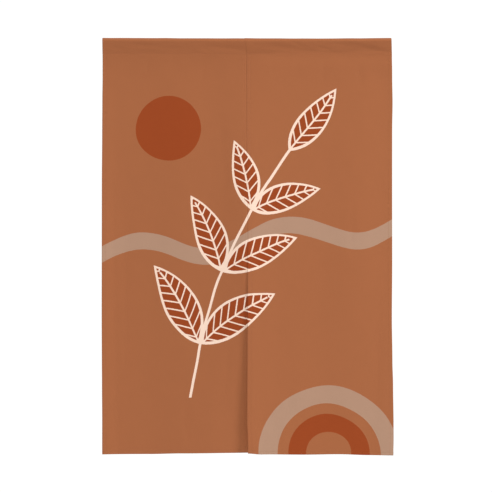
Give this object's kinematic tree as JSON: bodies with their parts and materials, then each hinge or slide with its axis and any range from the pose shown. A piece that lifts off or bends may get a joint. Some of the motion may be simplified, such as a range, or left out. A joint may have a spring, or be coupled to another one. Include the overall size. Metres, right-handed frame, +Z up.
{
  "type": "door curtain",
  "caption": "Hanging door curtain of two cloth panels under a sewn rod pocket, seamed together above and open as a slit below.",
  "frame": {"origin": "the middle of the rod pocket's top edge, on the line where the two panels are sewn together", "axes": "+X across the doorway to the viewer's right, +Z up, and the curtain's front faces -Y"},
  "size_m": [0.8398, 0.0264, 1.2011],
  "materials": {
    "heading_cloth": "matte woven cloth, terracotta with a print",
    "left_cloth": "matte woven cloth, terracotta with a print",
    "right_cloth": "matte woven cloth, terracotta with a print"
  },
  "bodies": {
    "root": {"heading": "heading_cloth", "panel_left": "left_cloth", "panel_right": "right_cloth"}
  },
  "joints": []
}
